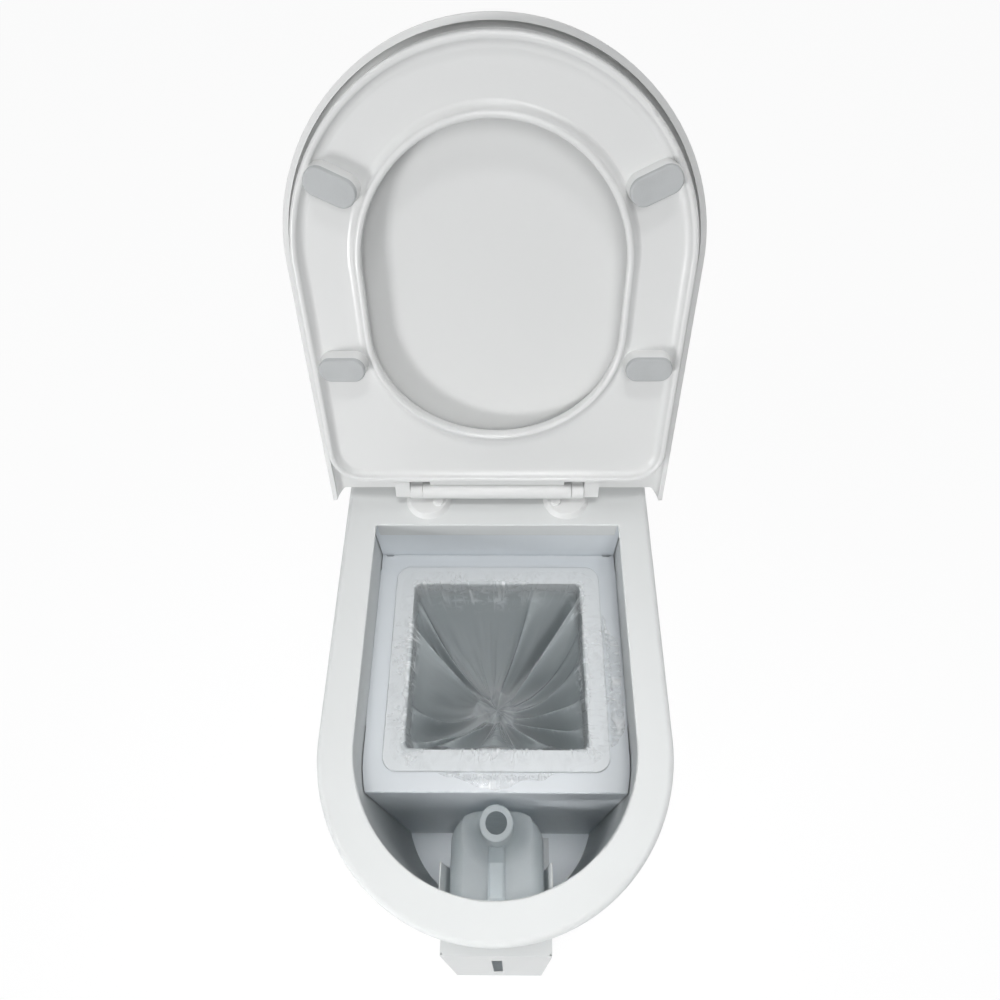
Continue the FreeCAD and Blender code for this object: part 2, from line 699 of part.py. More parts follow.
def hinge_pin(side):
    """A pin through the post, into the seat's barrel and the lid's knuckle."""
    inner = barrel_half - pin_insert
    outer = knuckle_outer - knuckle_end - pin_end_gap
    x0, x1 = sorted((side * inner, side * outer))
    return cross_bar(pin_radius, x0, x1, hinge_y, hinge_z)


def hinge_stud(side):
    """The stud that holds the rosette down through the deck."""
    return upright(stud_radius, side * stud_x, hinge_y, rim_height + stud_seat - stud_length,
                   rim_height + stud_seat)


def hinge_washer(side):
    """The washer below the deck."""
    x = side * stud_x
    disc = upright(washer_radius, x, hinge_y, rim_under - washer_height, rim_under)
    return disc.cut(upright(stud_radius + stud_gap, x, hinge_y, rim_height - rim_skirt, rim_height))


def wing_nut(side):
    """The wing nut below the washer."""
    x = side * stud_x
    top = rim_under - washer_height
    low = top - nut_height
    nut = upright(nut_radius, x, hinge_y, low, top)
    wings = block(x - wing_reach, x + wing_reach, hinge_y - wing_half, hinge_y + wing_half,
                  low - wing_rise, low + nut_height / 2)
    nut = nut.fuse(wings).removeSplitter()
    return nut.cut(upright(stud_radius + stud_gap, x, hinge_y, low - wing_rise - overrun, top + overrun))


def bumper_places():
    """Each bumper's name, middle and turn: its long side stands square to the rim's edge."""
    radius = rim_half - bumper_set_in
    angle = math.radians(bumper_front_angle)
    places = []
    for name, side in LEFT_AND_RIGHT:
        front = V(side * radius * math.cos(angle), -radius * math.sin(angle), 0)
        places.append(("front_" + name, front, -side * bumper_front_angle))
        places.append(("rear_" + name, V(side * radius, hinge_y - bumper_rear_reach, 0), 0))
    return places


def at_place(solid, middle, turn):
    """Move a solid made about the origin to a bumper's place."""
    placed = solid.copy()
    placed.rotate(ORIGIN, Z_AXIS, turn)
    placed.translate(middle)
    return placed


def bumper_pad(middle, turn):
    """A grey pad with a rounded lower edge."""
    pad = rounded_block(bumper_length, bumper_width, bumper_corner, 0, bumper_low, bumper_high)
    return at_place(pad.makeFillet(bumper_round, edges_at(pad, bumper_low)), middle, turn)


def bumper_base(middle, turn):
    """The sloped foot below a pad, part of the seat."""
    flare = 2 * bumper_base_flare
    foot = tapered(rounded_wire(bumper_length, bumper_width, bumper_corner, 0, bumper_high),
                   rounded_wire(bumper_length + flare, bumper_width + flare,
                                bumper_corner + bumper_base_flare, 0, channel_top + seat_lip_round))
    return at_place(foot, middle, turn)


def around_hole(edge):
    """Whether an edge runs round the seat's opening, and not round its outside."""
    return max(-edge.BoundBox.XMin, edge.BoundBox.XMax) < hole_half + seat_lip


def seat_ring():
    """The seat, closed: a ring with rounded edges, a channel below, bumper feet and the hinge tongue."""
    ring = raised(d_face(seat_half, seat_rear_y, seat_corner, seat_centre), seat_bottom, seat_top)
    ring = ring.makeFillet(seat_top_round, edges_at(ring, seat_top))
    ring = ring.cut(egg(0, seat_bottom - overrun, seat_top + overrun))
    ring = ring.makeFillet(seat_hole_round, edges_at(ring, seat_top, around_hole))
    channel_face = d_face(seat_half - seat_lip, seat_rear_y - seat_lip, seat_corner - seat_lip, seat_centre)
    channel = raised(channel_face, seat_bottom - overrun, channel_top)
    channel = channel.cut(egg(seat_lip, seat_bottom - 2 * overrun, channel_top + overrun))
    channel = channel.makeFillet(seat_channel_round, edges_at(channel, channel_top))
    ring = ring.cut(channel)
    ring = ring.makeFillet(seat_lip_round, edges_at(ring, seat_bottom))
    for _, middle, turn in bumper_places():
        ring = ring.fuse(bumper_base(middle, turn))
    tongue = block(-tongue_half, tongue_half, seat_rear_y - seat_lip / 2, hinge_y,
                   hinge_z - tongue_drop, hinge_z - tongue_drop + tongue_thick)
    seat = cross_bar(barrel_radius + barrel_join, -barrel_half, barrel_half, hinge_y, hinge_z)
    return ring.fuse(tongue.cut(seat)).removeSplitter()


def seat_barrel():
    """The tube on the hinge axis that carries the seat."""
    barrel = cross_bar(barrel_radius, -barrel_half, barrel_half, hinge_y, hinge_z)
    return barrel.cut(cross_bar(pin_radius + pin_gap, -barrel_half - overrun, barrel_half + overrun,
                                hinge_y, hinge_z))


def lid_tail_cut():
    """What is cut from the lid's rear, so that a pointed end is left at each side."""
    base, tip = lid_half - ear_base, lid_half - ear_tip
    outline = [(-base, lid_rear_y), (base, lid_rear_y), (tip, ear_y), (tip, ear_y + overrun),
               (-tip, ear_y + overrun), (-tip, ear_y)]
    corners = [V(x, y, 0) for x, y in outline]
    cut = raised(Part.Face(Part.makePolygon(corners + corners[:1])), lid_edge - overrun, lid_top + overrun)
    upright_edges = [edge for edge in cut.Edges if edge.BoundBox.YMax < lid_rear_y + level_tolerance
                     and edge.BoundBox.ZLength > lid_skirt]
    return cut.makeFillet(ear_hollow, upright_edges)


def lid_shell():
    """The lid, closed: a plate with a skirt, pointed rear ends and two hinge knuckles."""
    lid = raised(d_face(lid_half, ear_y, 0, lid_centre), lid_edge, lid_top)
    rim = edges_at(lid, lid_top, lambda edge: edge.BoundBox.YMin < ear_y - lid_wall)
    lid = lid.makeFillet(lid_round, rim)
    room = raised(d_face(lid_half - lid_wall, ear_y + overrun, 0, lid_centre), lid_edge - overrun, lid_under)
    rim = edges_at(room, lid_under, lambda edge: edge.BoundBox.YMin < ear_y)
    room = room.makeFillet(lid_inner_round, rim)
    lid = lid.cut(room).cut(lid_tail_cut())
    lid = lid.cut(profile_bar([(lid_rear_y + ear_shoulder, lid_top), (ear_y, lid_edge + ear_tip),
                               (ear_y + overrun, lid_edge + ear_tip), (ear_y + overrun, lid_top + overrun),
                               (lid_rear_y + ear_shoulder, lid_top + overrun)], -lid_half, lid_half))
    notch_half = stud_x + rosette_radius + lid_notch_gap
    lid = lid.cut(block(-notch_half, notch_half, hinge_y + lid_notch_tail, lid_rear_y + overrun,
                        lid_under - overrun, lid_top + overrun))
    knuckle_low = hinge_z - knuckle_drop
    for _, side in LEFT_AND_RIGHT:
        x0, x1 = sorted((side * knuckle_inner, side * knuckle_outer))
        knuckle = block(x0, x1, seat_rear_y + knuckle_clear, hinge_y + knuckle_tail, knuckle_low,
                        lid_under + lid_plate / 2)
        along = edges_at(knuckle, knuckle_low, lambda edge: edge.BoundBox.XLength > knuckle_round)
        lid = lid.fuse(knuckle.makeFillet(knuckle_round, along))
        x0, x1 = sorted((side * (knuckle_inner - overrun), side * (knuckle_outer - knuckle_end)))
        lid = lid.cut(cross_bar(pin_radius + pin_gap, x0, x1, hinge_y, hinge_z))
    return lid.removeSplitter()


def build():
    """Write every node."""
    os.makedirs("parts", exist_ok=True)
    save("base_plate", raised(d_face(shell_half, shell_rear + panel_sheet, 0), 0, base_sheet))
    save("housing_shell", housing_shell())
    save("rear_panel", rear_panel())
    save("rear_panel_screws", *rear_screws())
    save("compartment_back", block(-inner_half, inner_half, back_face, back_face + back_sheet,
                                   shelf_under - back_drop, rim_under))
    save("rim_deck", rim_deck())
    save("shelf_and_partition", shelf_and_partition())
    for name, side in LEFT_AND_RIGHT:
        save("shelf_bracket_" + name, shelf_bracket(side))
        save("drawer_guide_" + name, drawer_guide(side))
        save("hinge_rosette_" + name, hinge_rosette(side))
        save("hinge_post_" + name, hinge_post(side))
        save("hinge_pin_" + name, hinge_pin(side))
    save("hinge_studs", *[hinge_stud(side) for _, side in LEFT_AND_RIGHT])
    save("hinge_washers", *[hinge_washer(side) for _, side in LEFT_AND_RIGHT])
    save("hinge_wing_nuts", *[wing_nut(side) for _, side in LEFT_AND_RIGHT])
    save("seat_ring", opened(seat_ring()))
    save("seat_barrel", opened(seat_barrel()))
    for name, middle, turn in bumper_places():
        save("seat_bumper_" + name, opened(bumper_pad(middle, turn)))
    save("lid_shell", opened(lid_shell()))
    save("solids_bucket", solids_bucket())
    save("liner_bag", liner_bag())
    save("drawer_box", drawer_box())
    save("drawer_floor", drawer_floor())
    save("urine_canister", urine_canister())


build()
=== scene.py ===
import bpy
import json
import math
from mathutils import Matrix, Vector, noise


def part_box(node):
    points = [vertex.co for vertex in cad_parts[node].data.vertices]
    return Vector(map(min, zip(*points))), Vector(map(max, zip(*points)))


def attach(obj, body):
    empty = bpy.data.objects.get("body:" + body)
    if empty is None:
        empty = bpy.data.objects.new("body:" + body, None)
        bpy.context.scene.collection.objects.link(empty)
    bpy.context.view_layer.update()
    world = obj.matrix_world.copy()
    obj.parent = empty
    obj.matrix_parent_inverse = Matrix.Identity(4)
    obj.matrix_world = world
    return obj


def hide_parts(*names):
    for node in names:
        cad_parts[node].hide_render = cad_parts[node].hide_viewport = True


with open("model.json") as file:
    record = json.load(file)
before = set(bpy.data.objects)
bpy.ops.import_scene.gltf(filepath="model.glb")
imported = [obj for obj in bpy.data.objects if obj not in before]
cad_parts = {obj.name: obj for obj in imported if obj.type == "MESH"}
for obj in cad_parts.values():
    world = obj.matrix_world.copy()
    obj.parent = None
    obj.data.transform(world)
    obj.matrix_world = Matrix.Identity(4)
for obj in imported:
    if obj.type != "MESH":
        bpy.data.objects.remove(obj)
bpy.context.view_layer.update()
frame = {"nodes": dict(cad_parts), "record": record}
nodes = frame["nodes"]


# Materials

class Shader:
    """A material with one Principled shader and a few helpers for its procedural nodes."""

    def __init__(self, name):
        self.material = bpy.data.materials.new(name)
        self.material.use_nodes = True
        self.tree = self.material.node_tree
        self.bsdf = self.tree.nodes["Principled BSDF"]
        self.texture_places = self.tree.nodes.new("ShaderNodeTexCoord").outputs
        self.place = self.texture_places["Object"]

    def set(self, **values):
        """Set the shader's own sockets to constant values."""
        for socket, value in values.items():
            self.bsdf.inputs[socket.replace("_", " ")].default_value = value

    def link(self, source, socket):
        """Feed one of the shader's sockets."""
        self.tree.links.new(source, self.bsdf.inputs[socket])

    def noise(self, scale, detail, roughness=0.5, stretch=None, distortion=0.0):
        """Noise over the present place, stretched by a scale for each axis if one is given."""
        node = self.tree.nodes.new("ShaderNodeTexNoise")
        node.inputs["Scale"].default_value = scale
        node.inputs["Detail"].default_value = detail
        node.inputs["Roughness"].default_value = roughness
        node.inputs["Distortion"].default_value = distortion
        source = self.place
        if stretch is not None:
            mapping = self.tree.nodes.new("ShaderNodeMapping")
            mapping.inputs["Scale"].default_value = stretch
            self.tree.links.new(source, mapping.inputs["Vector"])
            source = mapping.outputs["Vector"]
        self.tree.links.new(source, node.inputs["Vector"])
        return node.outputs["Fac"]

    def attribute(self, name):
        """A value that the mesh stores at its points."""
        node = self.tree.nodes.new("ShaderNodeAttribute")
        node.attribute_name = name
        return node.outputs["Fac"]

    def math(self, operation, a, b, clamp=False):
        """A sum, product or the like of two sockets or numbers."""
        node = self.tree.nodes.new("ShaderNodeMath")
        node.operation = operation
        node.use_clamp = clamp
        for socket, value in zip(node.inputs, (a, b)):
            if isinstance(value, (int, float)):
                socket.default_value = value
            else:
                self.tree.links.new(value, socket)
        return node.outputs["Value"]

    def blend(self, a, b, share):
        """Two factors added, the first with its share and the second with the rest."""
        return self.math("ADD", self.math("MULTIPLY", a, share), self.math("MULTIPLY", b, 1.0 - share))

    def spread(self, factor, low, high, start=0.3, end=0.7):
        """A factor mapped from start..end to low..high."""
        node = self.tree.nodes.new("ShaderNodeMapRange")
        self.tree.links.new(factor, node.inputs["Value"])
        node.inputs["From Min"].default_value = start
        node.inputs["From Max"].default_value = end
        node.inputs["To Min"].default_value = low
        node.inputs["To Max"].default_value = high
        return node.outputs["Result"]

    def colours(self, factor, stops):
        """A colour ramp over a factor, from pairs of a place and a colour."""
        node = self.tree.nodes.new("ShaderNodeValToRGB")
        ramp = node.color_ramp
        while len(ramp.elements) < len(stops):
            ramp.elements.new(0.5)
        for element, (place, colour) in zip(ramp.elements, stops):
            element.position = place
            element.color = (*colour, 1.0)
        self.tree.links.new(factor, node.inputs["Fac"])
        return node.outputs["Color"]

    def shades(self, factor, colour, darker, lighter, places):
        """A ramp over three places: a colour made darker by a share, the colour, and it made lighter."""
        tones = (tinted(colour, -darker), colour, tinted(colour, lighter))
        return self.colours(factor, list(zip(places, tones)))

    def bump(self, height, strength, distance, below=None):
        """A bumped normal, over another one if it is given."""
        node = self.tree.nodes.new("ShaderNodeBump")
        node.inputs["Strength"].default_value = strength
        node.inputs["Distance"].default_value = distance
        self.tree.links.new(height, node.inputs["Height"])
        if below is not None:
            self.tree.links.new(below, node.inputs["Normal"])
        return node.outputs["Normal"]

    def painted_shade_upwards(self, colour, share):
        """A colour darkened by a share on faces that look up: painted shade."""
        facing = self.tree.nodes.new("ShaderNodeSeparateXYZ")
        normal = self.tree.nodes.new("ShaderNodeNewGeometry").outputs["True Normal"]
        self.tree.links.new(normal, facing.inputs["Vector"])
        shade = self.tree.nodes.new("ShaderNodeVectorMath")
        shade.operation = "SCALE"
        self.tree.links.new(colour, shade.inputs[0])
        upward_shade = self.spread(facing.outputs["Z"], low=1.0, high=1.0 - share, start=0.5, end=0.95)
        self.tree.links.new(upward_shade, shade.inputs["Scale"])
        return shade.outputs["Vector"]


def tinted(colour, change):
    """A colour made lighter or darker by a share."""
    return tuple(min(1.0, channel * (1.0 + change)) for channel in colour)


def powder_coat(name, colour, roughness, painted_shade_share=0.0):
    """Sprayed and baked paint: faint clouds, fine specks, an orange-peel surface, and painted shade that
    darkens faces that look up by a share.
    """
    s = Shader(name)
    cloud = s.noise(scale=5.0, detail=1.0, roughness=0.4)
    speck = s.noise(scale=1400.0, detail=2.0, roughness=0.6)
    mix = s.blend(cloud, speck, share=0.75)
    paint = s.shades(mix, colour, darker=0.008, lighter=0.005, places=(0.3, 0.5, 0.72))
    # Painted shade: the colour is darkened on faces that look up, standing in for the shade that falls on the
    # shelf
    s.link(s.painted_shade_upwards(paint, painted_shade_share), "Base Color")
    gloss = s.noise(scale=30.0, detail=2.0)
    s.link(s.spread(gloss, low=roughness - 0.03, high=roughness + 0.04), "Roughness")
    peel = s.bump(s.noise(scale=620.0, detail=2.0), strength=0.05, distance=0.0004)
    sheet = s.noise(scale=26.0, detail=2.0, roughness=0.4)
    s.link(s.bump(sheet, strength=0.06, distance=0.0012, below=peel), "Normal")
    s.set(IOR=1.48)
    return s.material


def moulded(name, colour, roughness, coat, ripple, speckle=0.0):
    """Moulded plastic: even colour, slight flow marks and a faint surface ripple."""
    s = Shader(name)
    flow = s.noise(scale=3.5, detail=1.0, roughness=0.4, stretch=(1.0, 1.0, 2.2))
    fine = s.noise(scale=900.0, detail=2.0)
    mix = s.blend(flow, fine, share=0.8)
    tone = s.shades(mix, colour, darker=0.005 + speckle, lighter=0.004, places=(0.3, 0.52, 0.75))
    s.link(tone, "Base Color")
    gloss = s.noise(scale=18.0, detail=1.5)
    s.link(s.spread(gloss, low=roughness - 0.02, high=roughness + 0.03), "Roughness")
    low = s.bump(s.noise(scale=14.0, detail=1.5, roughness=0.4), strength=ripple, distance=0.0015)
    grain = s.noise(scale=1500.0, detail=1.0)
    s.link(s.bump(grain, strength=0.02 + speckle, distance=0.0002, below=low), "Normal")
    s.set(IOR=1.5, Coat_Weight=coat, Coat_Roughness=0.12)
    return s.material


def soft_rubber(name, colour):
    """Bumper rubber: matt, finely grained, a little darker in the hollows."""
    s = Shader(name)
    grain = s.noise(scale=1100.0, detail=3.0, roughness=0.6)
    cloud = s.noise(scale=40.0, detail=3.0)
    mix = s.blend(cloud, grain, share=0.6)
    s.link(s.shades(mix, colour, darker=0.07, lighter=0.04, places=(0.3, 0.5, 0.7)), "Base Color")
    s.link(s.spread(grain, low=0.5, high=0.66), "Roughness")
    s.link(s.bump(grain, strength=0.12, distance=0.0003), "Normal")
    s.set(IOR=1.45)
    return s.material


def natural_plastic(name, colour):
    """Blow-moulded natural plastic: milky, waxy, with a faint glow for light let through its thin wall."""
    s = Shader(name)
    cloud = s.noise(scale=22.0, detail=4.0, roughness=0.55, stretch=(1.0, 1.0, 0.35))
    fine = s.noise(scale=700.0, detail=2.0)
    mix = s.blend(cloud, fine, share=0.8)
    s.link(s.shades(mix, colour, darker=0.08, lighter=0.05, places=(0.28, 0.5, 0.75)), "Base Color")
    s.link(s.spread(s.noise(scale=60.0, detail=4.0, roughness=0.6), low=0.42, high=0.56), "Roughness")
    wavy = s.bump(s.noise(scale=35.0, detail=2.0), strength=0.12, distance=0.0012)
    s.link(s.bump(fine, strength=0.05, distance=0.0002, below=wavy), "Normal")
    s.set(IOR=1.5, Subsurface_Weight=0.7, Subsurface_Radius=(1.0, 1.0, 1.0), Subsurface_Scale=0.012,
          Transmission_Weight=0.5, Emission_Color=(*colour, 1.0), Emission_Strength=0.05)
    return s.material


def plated_steel(name):
    """Zinc-plated steel with fine drawn marks."""
    s = Shader(name)
    drawn = s.noise(scale=420.0, detail=3.0, roughness=0.6, stretch=(1.0, 1.0, 0.08))
    s.link(s.colours(drawn, [(0.3, (0.48, 0.49, 0.5)), (0.7, (0.66, 0.67, 0.68))]), "Base Color")
    s.link(s.spread(drawn, low=0.28, high=0.42), "Roughness")
    s.link(s.bump(drawn, strength=0.06, distance=0.0002), "Normal")
    s.set(Metallic=1.0)
    return s.material


finishes = {
    "outer_paint": powder_coat("outer_paint", (0.75, 0.765, 0.762), roughness=0.50),
    # The inner paint carries painted shade on its faces that look up
    "inner_paint": powder_coat("inner_paint", (0.83, 0.87, 0.905), roughness=0.33, painted_shade_share=0.22),
    "seat_plastic": moulded("seat_plastic", (0.78, 0.785, 0.78), roughness=0.31, coat=0.2, ripple=0.05),
    "hinge_plastic": moulded("hinge_plastic", (0.80, 0.805, 0.80), roughness=0.42, coat=0.0, ripple=0.04),
    "bucket_plastic": moulded("bucket_plastic", (0.65, 0.675, 0.69), roughness=0.38, coat=0.0, ripple=0.08,
                              speckle=0.02),
    "bumper_rubber": soft_rubber("bumper_rubber", (0.50, 0.515, 0.52)),
    "canister_plastic": natural_plastic("canister_plastic", (0.66, 0.71, 0.73)),
    "steel": plated_steel("steel"),
}

# The compartment's floors have a lighter, bluer inner paint, which lifts their shade as painted light, and
# none of the painted shade on up-facing faces that the bucket's shelf gets
floor_paint = powder_coat("floor_paint", (0.84, 0.89, 0.935), roughness=0.33)
low_floors = ("base_plate", "drawer_floor")

for entry in frame["record"]["subparts"]:
    finish = floor_paint if entry["node"] in low_floors else finishes.get(entry["material_slot"])
    node = nodes[entry["node"]]
    if finish is not None:
        node.data.materials.clear()
        node.data.materials.append(finish)


# Liner bag: a film pouch that hangs in the bucket in folds and folds out over its flange.
# A share is a part of the way round the mouth from the middle of its right side, towards the rear first.
# A depth runs from 0 at the mouth to 1 at the gather, where the film is bunched.
# Waves are a height, a count round the mouth and a phase.

bucket_low, bucket_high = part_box("solids_bucket")
shelf_low, shelf_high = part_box("shelf_and_partition")
flange_top = bucket_high.z
flange_band = 0.0215
mouth_middle = Vector((0.0, (bucket_low.y + bucket_high.y) / 2))
mouth_half = Vector((bucket_high.x - flange_band, (bucket_high.y - bucket_low.y) / 2 - flange_band))
mouth_corner = 0.006
corner_growth = 0.012
bucket_lean = 0.037

columns = 640
collar_rows = 30
wall_rows = 110
floor_rows = 14

# The collar, which lies over the flange and drops past it to the shelf
film_lift = 0.0006
square_share = 0.8
shelf_margin = 0.002
flange_margin = 0.001
drop_way = 0.010
drop_bulge = 0.0012
crumple_height = 0.0008
crumple_way = 0.008
crumple_scale = 20.0
crumple_seed = 4.0
edge_waves = [(0.0010, 11, 0.2), (0.0007, 23, 0.7), (0.0004, 47, 0.1)]

# How far the collar reaches out past the mouth, by share
collar_points = [
    (0.0, 0.0395), (0.030, 0.0380), (0.052, 0.0280), (0.085, 0.0185), (0.125, 0.0165), (0.19, 0.0140),
    (0.25, 0.0155), (0.31, 0.0160), (0.375, 0.0140), (0.42, 0.0165), (0.50, 0.0195), (0.58, 0.0200),
    (0.625, 0.0150), (0.655, 0.0205), (0.70, 0.0290), (0.75, 0.0385), (0.80, 0.0290), (0.845, 0.0205),
    (0.875, 0.0165), (0.893, 0.0300), (0.912, 0.0390), (1.0, 0.0395),
]

# The hanging film, between the bucket's wall and straight lines to the gather
film_gap = 0.0016
hang_power = 1.9
inward_power = 2.1
wander = 0.10
wander_scale = 9.0
wander_depth_scale = 2.5
wander_start = 3
pleat_height = 0.05
pleat_mean = 0.8
pleat_power = 4
pleats = [(1.0, 17, 0.13), (0.6, 29, 0.4)]

# Its folds: share at the mouth, width towards higher and towards lower shares, height, sideways run
folds = [
    (0.188, 0.011, 0.036, 0.80, -0.004),
    (0.104, 0.008, 0.030, 1.00, -0.012),
    (0.050, 0.014, 0.014, 0.30, -0.020),
    (0.004, 0.012, 0.022, 0.56, -0.020),
    (0.944, 0.012, 0.024, 0.74, -0.006),
    (0.897, 0.014, 0.018, 0.76, 0.004),
    (0.835, 0.020, 0.030, 0.80, 0.0),
    (0.742, 0.040, 0.034, 0.92, 0.0),
    (0.664, 0.022, 0.030, 0.90, 0.006),
    (0.618, 0.010, 0.012, 0.66, 0.016),
    (0.566, 0.010, 0.010, 0.48, 0.010),
    (0.444, 0.064, 0.009, 1.00, 0.020),
    (0.392, 0.008, 0.012, 0.52, 0.016),
]

# The gather: an uneven slanted ring that closes over a crumpled middle
gather_middle = Vector((-0.003, 0.097))
gather_along = Vector((0.65, -0.76))
gather_long = 0.027
gather_short = 0.018
gather_z = 0.215
gather_drop = 0.008
gather_uneven = [(0.28, 2, 0.1), (0.22, 3, 0.62)]
gather_sway = 0.007
gather_sway_power = 3
gather_sway_waves = [(1.0, 2, 0.35), (0.6, 5, 0.2)]
floor_crumple = 0.007
floor_crumple_scale = 60.0
floor_crumple_seed = 2.0

# How milky the film is; the milkier film also gets a darker colour, as painted shade where it hangs in the
# bucket
collar_haze = 0.03
collar_mouth_haze = 0.06
spill_haze = 0.22
spill_way = 0.004
mouth_haze = 0.14
wall_haze = 0.54
fold_haze = 0.12
wall_haze_way = 0.12
gather_clearing = 0.28
crinkle_haze = 0.55
crinkle_collar_way = 0.007
crinkle_wall_way = 0.05
middle_haze = 0.45

# How white its creases are: partly the creased film's own whitening, partly painted highlight
collar_edge_white = 0.35
spill_white = 0.7
fold_highlight = 0.3
fold_line = 0.005
fold_line_way = 0.1
gather_white = 0.10
gather_white_waves = [(0.12, 3, 0.15), (0.08, 7, 0.4)]
gather_white_start = 0.88
middle_white = 0.1

# Where it is crinkled, milkier and with white marks that are partly painted highlight: share, half width, how
# far down inside it goes, strength
crinkles = [
    (0.50, 0.075, 0.09, 1.0), (0.575, 0.04, 0.10, 0.7), (0.0, 0.05, 0.12, 1.0), (0.955, 0.04, 0.05, 0.8),
    (0.105, 0.03, 0.14, 0.8), (0.27, 0.075, 0.16, 0.8), (0.365, 0.02, 0.06, 0.6), (0.625, 0.03, 0.12, 0.9),
    (0.745, 0.05, 0.02, 0.7), (0.875, 0.03, 0.10, 0.6),
]


def rounded_square(half_x, half_y, corner, share):
    """A point and outward direction on a rounded rectangle, by its share of the way round."""
    straight_x, straight_y = half_x - corner, half_y - corner
    quarter = math.pi * corner / 2
    runs = [straight_y, quarter, 2 * straight_x, quarter, 2 * straight_y, quarter, 2 * straight_x, quarter]
    runs.append(straight_y)
    left = (share % 1.0) * sum(runs)
    for index, run in enumerate(runs):
        if left <= run or index == len(runs) - 1:
            part = min(left / run, 1.0) if run > 0 else 0.0
            break
        left -= run
    if index in (0, 4, 8):
        side = -1 if index == 4 else 1
        start, end = {0: (0, straight_y), 4: (straight_y, -straight_y), 8: (-straight_y, 0)}[index]
        return Vector((side * half_x, start + (end - start) * part)), Vector((side, 0))
    if index in (2, 6):
        side = 1 if index == 2 else -1
        start = straight_x * side
        return Vector((start - 2 * straight_x * side * part, side * half_y)), Vector((0, side))
    turn = (index - 1) / 2 * math.pi / 2 + part * math.pi / 2
    centre = {1: (straight_x, straight_y), 3: (-straight_x, straight_y),
              5: (-straight_x, -straight_y), 7: (straight_x, -straight_y)}[index]
    out = Vector((math.cos(turn), math.sin(turn)))
    return Vector(centre) + out * corner, out


def spoke(share):
    """The direction from the mouth's middle for a share, as on a circle."""
    angle = 2 * math.pi * share
    return Vector((math.cos(angle), math.sin(angle)))


def wave(share, count, phase):
    """A sine wave that runs a count of times round the mouth."""
    return math.sin(2 * math.pi * (share * count + phase))


def wave_sum(share, waves):
    """Several waves added."""
    return sum(height * wave(share, count, phase) for height, count, phase in waves)


def eased(part):
    """A smooth step from 0 to 1."""
    part = max(0.0, min(1.0, part))
    return part * part * (3 - 2 * part)


def apart(share, place):
    """The signed way round from a place to a share."""
    return (share - place + 0.5) % 1.0 - 0.5


def bell(away, width):
    """A bell curve, 1 in its middle."""
    return math.exp(-(away / width) ** 2)


def crumple(point, scale, seed):
    """Sharp-creased noise, about -1 to 1."""
    return 1.0 - 2.0 * abs(noise.noise(point * scale + Vector((seed, 2.3 * seed, -seed))))


def collar_reach(share):
    """How far the film folds out past the mouth there."""
    for (start, near), (end, far) in zip(collar_points, collar_points[1:]):
        if share <= end:
            part = (share - start) / (end - start)
            break
    return near + (far - near) * eased(part) + wave_sum(share, edge_waves)


def film_over_flange(share, reach):
    """A point of the film that lies over the flange, out from the mouth by reach."""
    edge, out = rounded_square(mouth_half.x, mouth_half.y, mouth_corner, share)
    outward = (out * square_share + spoke(share) * (1.0 - square_share)).normalized()
    flat = edge + outward * reach + mouth_middle
    point = Vector((flat.x, max(flat.y, shelf_low.y + shelf_margin), 0.0))
    past_x = max(0.0, abs(point.x) - bucket_high.x + flange_margin)
    past_y = max(0.0, bucket_low.y + flange_margin - point.y)
    drop = eased((past_x + past_y) / drop_way)
    rest = flange_top * (1 - drop) + shelf_high.z * drop
    creased = max(0.0, crumple(point, crumple_scale, crumple_seed)) ** 2
    lift = film_lift + min(1.0, reach / crumple_way) * crumple_height * creased
    point.z = rest + lift + drop_bulge * math.sin(math.pi * drop)
    return point


def fold_at(share, depth):
    """How much of a fold the film is there: 0 against the bucket's wall, 1 drawn straight to the gather."""
    total = 0.0
    for place, higher, lower, height, run in folds:
        away = apart(share, place + run * depth)
        total = max(total, height * bell(away, higher if away > 0 else lower))
    return total


def film_in_bucket(share, depth):
    """A point of the film inside the bucket."""
    angle = 2 * math.pi * share
    place = (wander_scale * math.cos(angle), wander_scale * math.sin(angle), wander_depth_scale * depth)
    fold = fold_at(share, depth) + wander * noise.noise(Vector(place)) * eased(wander_start * depth)
    pleat = sum(height * abs(wave(share, count, phase)) for height, count, phase in pleats)
    fold = max(0.0, min(1.0, fold + pleat_height * (pleat - pleat_mean) * depth ** pleat_power))
    down = depth * fold + (1.0 - (1.0 - depth) ** hang_power) * (1.0 - fold)
    inward = depth * fold + depth ** inward_power * (1.0 - fold)
    z = flange_top + film_lift - down * (flange_top - gather_z)
    inset = film_gap + bucket_lean * (flange_top - z)
    corner = mouth_corner + corner_growth * depth
    edge, _ = rounded_square(mouth_half.x - inset, mouth_half.y - inset, corner, share)
    out = spoke(share)
    across = Vector((-gather_along.y, gather_along.x))
    uneven = 1.0 + wave_sum(share, gather_uneven)
    ring = gather_middle + gather_along * gather_long * uneven * out.dot(gather_along)
    ring += across * gather_short * uneven * out.dot(across)
    flat = (edge + mouth_middle).lerp(ring, inward)
    sway = gather_sway * depth ** gather_sway_power * wave_sum(share, gather_sway_waves)
    return Vector((flat.x, flat.y, z + sway))


def bag_rows():
    """Rows of points from the film's free edge to the gather, and the gather's middle."""
    rows = []
    shares = [column / columns for column in range(columns)]
    for row in range(collar_rows):
        part = 1.0 - row / collar_rows
        rows.append([film_over_flange(share, collar_reach(share) * part) for share in shares])
    for row in range(wall_rows):
        depth = row / (wall_rows - 1)
        rows.append([film_in_bucket(share, depth) for share in shares])
    last = rows[-1]
    middle = Vector((gather_middle.x, gather_middle.y, gather_z - gather_drop))
    for row in range(1, floor_rows):
        part = row / floor_rows
        ring = []
        for point in last:
            spot = point.lerp(middle, part)
            creased = crumple(spot, floor_crumple_scale, floor_crumple_seed)
            spot.z += floor_crumple * math.sin(math.pi * part) * creased
            ring.append(spot)
        rows.append(ring)
    return rows, middle


